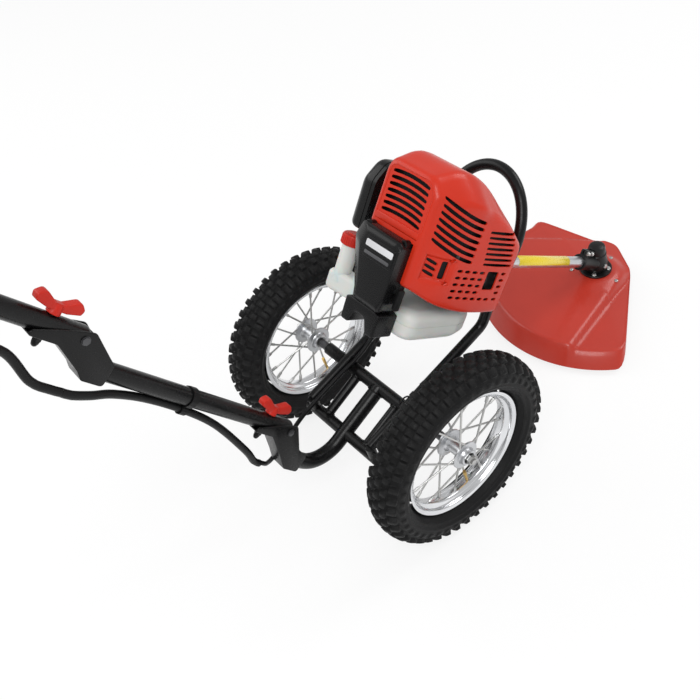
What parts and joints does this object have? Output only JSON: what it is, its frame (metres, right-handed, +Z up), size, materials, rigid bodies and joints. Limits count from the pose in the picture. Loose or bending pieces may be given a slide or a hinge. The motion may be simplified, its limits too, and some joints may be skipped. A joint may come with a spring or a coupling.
{
  "type": "wheeled brush cutter",
  "caption": "Two-wheeled hand-pushed petrol brush cutter: spoked wheels, tubular frame with a hoop, covered engine on a sloping shaft, fan guard and folding handle.",
  "frame": {"origin": "middle of the bounding box at the ground", "axes": "+Y ahead to the cutter head, +X to the operator's right, +Z up"},
  "size_m": [0.6056, 1.6775, 1.0961],
  "materials": {
    "alloy": "drawn or cast",
    "black_paint": "gloss black paint",
    "black_plastic": "moulded, satin",
    "brass": "plain",
    "dark_steel": "dark, satin",
    "guard_red": "moulded, gloss",
    "red_plastic": "moulded, gloss",
    "rim_silver": "plated",
    "steel": "zinc plated",
    "tyre_rubber": "knobbly tread",
    "white_plastic": "blow moulded, translucent",
    "yellow": "plastic sleeve"
  },
  "bodies": {
    "chassis": {"air_filter_cover": "black_plastic", "axle": "steel", "axle_nut_left": "steel", "axle_nut_right": "steel", "axle_spacer_left": "black_paint", "axle_spacer_right": "black_paint", "cable_frame": "black_plastic", "carburettor": "alloy", "clutch_case": "dark_steel", "crankcase": "alloy", "engine_cover": "red_plastic", "engine_foot": "black_plastic", "frame": "black_paint", "frame_bracket": "black_paint", "frame_pin": "dark_steel", "fuel_tank": "white_plastic", "gear_head": "black_paint", "guard": "guard_red", "muffler": "dark_steel", "primer_bulb": "black_plastic", "shaft_band": "yellow", "shaft_tube": "alloy", "starter_housing": "black_plastic"},
    "wheel_right_body": {"wheel_right": "rim_silver", "tyre_right": "tyre_rubber", "bearing_right": "steel", "valve_right": "brass"},
    "wheel_left_body": {"wheel_left": "rim_silver", "tyre_left": "tyre_rubber", "bearing_left": "steel", "valve_left": "brass"},
    "cutter": {"cutter_spindle": "steel", "blade": "steel", "skid_cup": "dark_steel", "spindle_nut": "steel"},
    "drive": {"drive_shaft": "steel"},
    "crank": {"crankshaft": "steel", "flywheel": "alloy"},
    "pulley": {"starter_pulley": "black_plastic"},
    "pull_handle": {"starter_handle": "black_plastic"},
    "cap": {"fuel_cap": "red_plastic"},
    "choke": {"choke_lever": "black_plastic"},
    "lower_handle": {"lower_stem": "black_paint", "stem_bracket": "black_paint", "stem_pin": "dark_steel", "cable_clip": "black_plastic", "cable_lower": "black_plastic"},
    "lower_screw": {"lower_knob": "red_plastic"},
    "upper_handle": {"upper_stem": "black_paint", "bar_clamp": "black_plastic", "handlebar": "black_paint", "grip_left": "black_plastic", "grip_right": "black_plastic", "throttle_housing": "black_plastic", "cable_upper": "black_plastic"},
    "upper_screw": {"upper_knob": "red_plastic"},
    "trigger": {"throttle_trigger": "black_plastic"},
    "trigger_lock": {"lock_lever": "black_plastic"},
    "switch": {"stop_switch": "red_plastic"}
  },
  "joints": [
    {"name": "wheel_right_turn", "type": "hinge", "parent": "chassis", "child": "wheel_right_body", "pos_m": [0.2221, 0.0491, 0.2038], "axis": [1, 0, 0], "continuous": true},
    {"name": "wheel_left_turn", "type": "hinge", "parent": "chassis", "child": "wheel_left_body", "pos_m": [-0.2221, 0.0491, 0.2038], "axis": [1, 0, 0], "continuous": true},
    {"name": "cutter_turn", "type": "hinge", "parent": "chassis", "child": "cutter", "pos_m": [0, 0.72135, 0.0953], "axis": [0, 0, 1], "continuous": true},
    {"name": "drive_turn", "type": "hinge", "parent": "chassis", "child": "drive", "pos_m": [0, 0.1948, 0.4412], "axis": [0, 0.8358, -0.549], "continuous": true},
    {"name": "crank_turn", "type": "hinge", "parent": "chassis", "child": "crank", "pos_m": [0, 0.1948, 0.4412], "axis": [0, 0.8358, -0.549], "continuous": true},
    {"name": "pulley_turn", "type": "hinge", "parent": "chassis", "child": "pulley", "pos_m": [0, 0.1948, 0.4412], "axis": [0, 0.8358, -0.549], "range_deg": [0, 450]},
    {"name": "starter_pull", "type": "slide", "parent": "chassis", "child": "pull_handle", "axis": [1, 0, 0], "range_m": [0, 0.3], "stiffness_N_per_m": 10, "springref_m": -0.1},
    {"name": "cap_turn", "type": "hinge", "parent": "chassis", "child": "cap", "pos_m": [-0.116, 0.12156, 0.46813], "axis": [0, 0.549, 0.8358], "range_deg": [0, 540]},
    {"name": "choke_turn", "type": "hinge", "parent": "chassis", "child": "choke", "pos_m": [-0.082, 0.18358, 0.5048], "axis": [0, -0.8358, 0.549], "range_deg": [0, 60]},
    {"name": "lower_fold", "type": "hinge", "parent": "chassis", "child": "lower_handle", "pos_m": [0, -0.17456, 0.27914], "axis": [-1, 0, 0], "range_deg": [0, 15]},
    {"name": "lower_screw_turn", "type": "hinge", "parent": "lower_handle", "child": "lower_screw", "pos_m": [0, -0.1939, 0.33518], "axis": [0, 0.8192, 0.5736], "continuous": true},
    {"name": "upper_fold", "type": "hinge", "parent": "lower_handle", "child": "upper_handle", "pos_m": [0, -0.4335, 0.72042], "axis": [-1, 0, 0], "range_deg": [0, 120]},
    {"name": "upper_screw_turn", "type": "hinge", "parent": "upper_handle", "child": "upper_screw", "pos_m": [0, -0.45284, 0.77646], "axis": [0, 0.8192, 0.5736], "continuous": true},
    {"name": "trigger_squeeze", "type": "hinge", "parent": "upper_handle", "child": "trigger", "pos_m": [0.22388, -0.71962, 1.0846], "axis": [0.5039, 0.4954, -0.7076], "range_deg": [0, 8], "stiffness_Nm_per_rad": 0.1, "springref_deg": -11.46},
    {"name": "lock_squeeze", "type": "hinge", "parent": "upper_handle", "child": "trigger_lock", "pos_m": [0.19555, -0.73885, 1.05096], "axis": [-0.5039, -0.4954, 0.7076], "range_deg": [0, 6], "stiffness_Nm_per_rad": 0.1, "springref_deg": -11.46},
    {"name": "switch_slide", "type": "slide", "parent": "upper_handle", "child": "switch", "axis": [0.6307, -0.7707, -0.0905], "range_m": [0, 0.006]}
  ],
  "couplings": [
    {"joint": "drive_turn", "follows": "cutter_turn", "ratio": -1.2727},
    {"joint": "pulley_turn", "follows": "starter_pull", "rad_per_m": 25}
  ]
}
